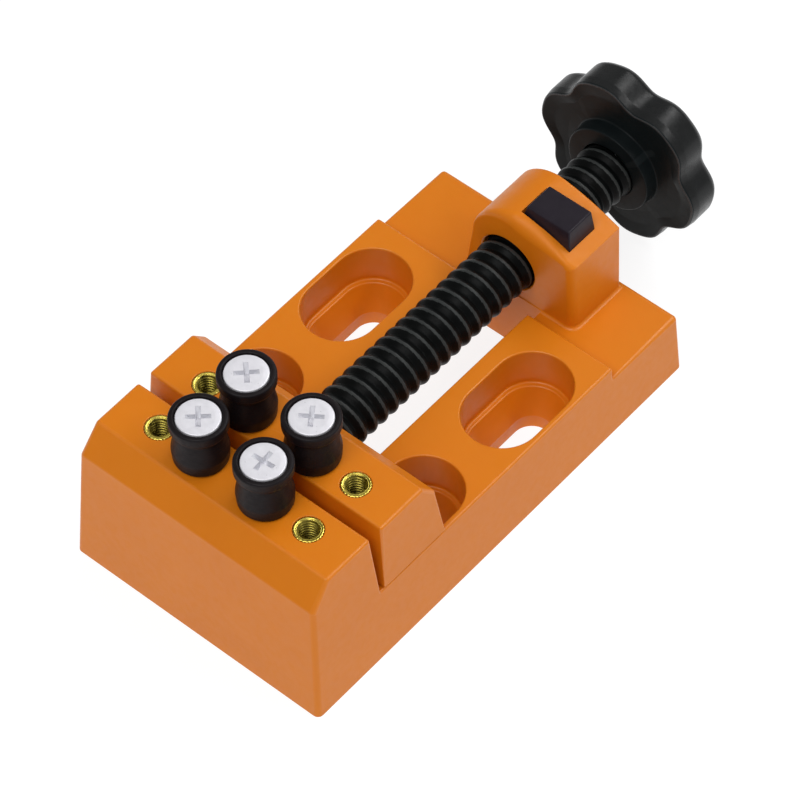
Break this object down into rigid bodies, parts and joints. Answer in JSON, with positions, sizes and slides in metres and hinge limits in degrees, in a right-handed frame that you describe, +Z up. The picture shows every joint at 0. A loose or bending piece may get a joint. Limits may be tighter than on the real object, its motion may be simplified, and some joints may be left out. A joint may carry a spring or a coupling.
{
  "type": "watch movement holder",
  "caption": "Small screw-driven holder: a slotted moulded base with a fixed jaw, a sliding jaw on a lead screw with a lobed knob, and rubber pegs on the jaws' tops.",
  "frame": {"origin": "middle of the bottom of the whole object's bounding box, on the bench", "axes": "+X to the right seen from the front, across the width; +Y along the lead screw from the fixed jaw towards the knob; +Z up from the bench"},
  "size_m": [0.058, 0.1264, 0.0448],
  "materials": {
    "orange_plastic": "moulded, fine satin grain",
    "black_plastic": "moulded, satin",
    "release_plastic": "moulded, satin, purple-black",
    "brass": "turned",
    "rubber": "smooth matt",
    "nickel_steel": "nickel plated",
    "small_steel": "zinc plated",
    "spring_steel": "drawn wire"
  },
  "bodies": {
    "base": {"base_body": "orange_plastic", "fixed_insert_1": "brass", "fixed_insert_2": "brass", "fixed_insert_3": "brass", "fixed_insert_4": "brass", "nut_cover": "black_plastic", "nut_cover_screws": "small_steel", "release_spring": "spring_steel"},
    "sliding_jaw": {"moving_jaw": "orange_plastic", "jaw_keeper": "black_plastic", "keeper_screws": "small_steel", "screw_retainer": "black_plastic", "jaw_insert_1": "brass", "jaw_insert_2": "brass", "jaw_insert_3": "brass", "jaw_insert_4": "brass"},
    "spindle": {"lead_screw": "black_plastic", "knob": "black_plastic", "knob_screw": "small_steel"},
    "half_nut": {"release_nut": "release_plastic"},
    "fixed_left_peg": {"fixed_left_sleeve": "rubber"},
    "fixed_left_clamp": {"fixed_left_screw": "nickel_steel"},
    "fixed_right_peg": {"fixed_right_sleeve": "rubber"},
    "fixed_right_clamp": {"fixed_right_screw": "nickel_steel"},
    "jaw_left_peg": {"jaw_left_sleeve": "rubber"},
    "jaw_left_clamp": {"jaw_left_screw": "nickel_steel"},
    "jaw_right_peg": {"jaw_right_sleeve": "rubber"},
    "jaw_right_clamp": {"jaw_right_screw": "nickel_steel"}
  },
  "joints": [
    {"name": "jaw_slide", "type": "slide", "parent": "base", "child": "sliding_jaw", "axis": [0, 1, 0], "range_m": [-0.00095, 0.0499]},
    {"name": "screw_turn", "type": "hinge", "parent": "sliding_jaw", "child": "spindle", "pos_m": [0, 0.00885, 0.0223], "axis": [0, 1, 0], "range_deg": [-120, 6200]},
    {"name": "release_press", "type": "slide", "parent": "base", "child": "half_nut", "axis": [0, 0, -1], "range_m": [0, 0.0012], "stiffness_N_per_m": 800, "springref_m": -0.002, "deforming": ["release_spring"]},
    {"name": "fixed_left_lift", "type": "slide", "parent": "base", "child": "fixed_left_peg", "axis": [0, 0, 1], "range_m": [0, 0.0049]},
    {"name": "fixed_left_screw_turn", "type": "hinge", "parent": "fixed_left_peg", "child": "fixed_left_clamp", "pos_m": [-0.0075, -0.0509, 0.04], "axis": [0, 0, 1], "range_deg": [0, 2521]},
    {"name": "fixed_right_lift", "type": "slide", "parent": "base", "child": "fixed_right_peg", "axis": [0, 0, 1], "range_m": [0, 0.0049]},
    {"name": "fixed_right_screw_turn", "type": "hinge", "parent": "fixed_right_peg", "child": "fixed_right_clamp", "pos_m": [0.0075, -0.0509, 0.04], "axis": [0, 0, 1], "range_deg": [0, 2521]},
    {"name": "jaw_left_lift", "type": "slide", "parent": "sliding_jaw", "child": "jaw_left_peg", "axis": [0, 0, 1], "range_m": [0, 0.0049]},
    {"name": "jaw_left_screw_turn", "type": "hinge", "parent": "jaw_left_peg", "child": "jaw_left_clamp", "pos_m": [-0.0075, -0.03835, 0.04], "axis": [0, 0, 1], "range_deg": [0, 2521]},
    {"name": "jaw_right_lift", "type": "slide", "parent": "sliding_jaw", "child": "jaw_right_peg", "axis": [0, 0, 1], "range_m": [0, 0.0049]},
    {"name": "jaw_right_screw_turn", "type": "hinge", "parent": "jaw_right_peg", "child": "jaw_right_clamp", "pos_m": [0.0075, -0.03835, 0.04], "axis": [0, 0, 1], "range_deg": [0, 2521]}
  ],
  "couplings": [
    {"joint": "screw_turn", "follows": "jaw_slide", "rad_per_m": 2166.6},
    {"joint": "fixed_left_screw_turn", "follows": "fixed_left_lift", "rad_per_m": 8976},
    {"joint": "fixed_right_screw_turn", "follows": "fixed_right_lift", "rad_per_m": 8976},
    {"joint": "jaw_left_screw_turn", "follows": "jaw_left_lift", "rad_per_m": 8976},
    {"joint": "jaw_right_screw_turn", "follows": "jaw_right_lift", "rad_per_m": 8976}
  ]
}
